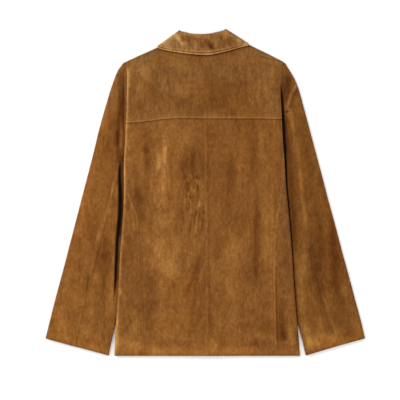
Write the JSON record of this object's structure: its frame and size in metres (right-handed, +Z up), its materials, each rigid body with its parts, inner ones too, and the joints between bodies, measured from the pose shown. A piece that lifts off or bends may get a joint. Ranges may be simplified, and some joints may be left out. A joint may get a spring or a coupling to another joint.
{
  "type": "suede jacket",
  "caption": "Hip-length suede shirt jacket laid flat on its front, with turned-down collar, back yoke, centre back seam, side panels and two-piece sleeves; buttoned front underneath.",
  "frame": {"origin": "under the middle of the jacket, on the surface it lies on", "axes": "+Z up out of the back of the jacket, +Y from the hem to the collar, +X to the right as the back is seen"},
  "size_m": [0.722, 0.7332, 0.0119],
  "materials": {
    "suede": "brushed brown suede, matte",
    "button": "dark horn, semi-gloss"
  },
  "bodies": {
    "root": {"yoke": "suede", "back_left": "suede", "back_right": "suede", "side_panel_left": "suede", "side_panel_right": "suede", "front_left": "suede", "front_right": "suede", "upper_sleeve_left": "suede", "upper_sleeve_right": "suede", "under_sleeve_left": "suede", "under_sleeve_right": "suede", "collar_stand": "suede", "collar_fall": "suede", "button_1": "button", "button_2": "button", "button_3": "button", "button_4": "button", "button_5": "button"}
  },
  "joints": []
}
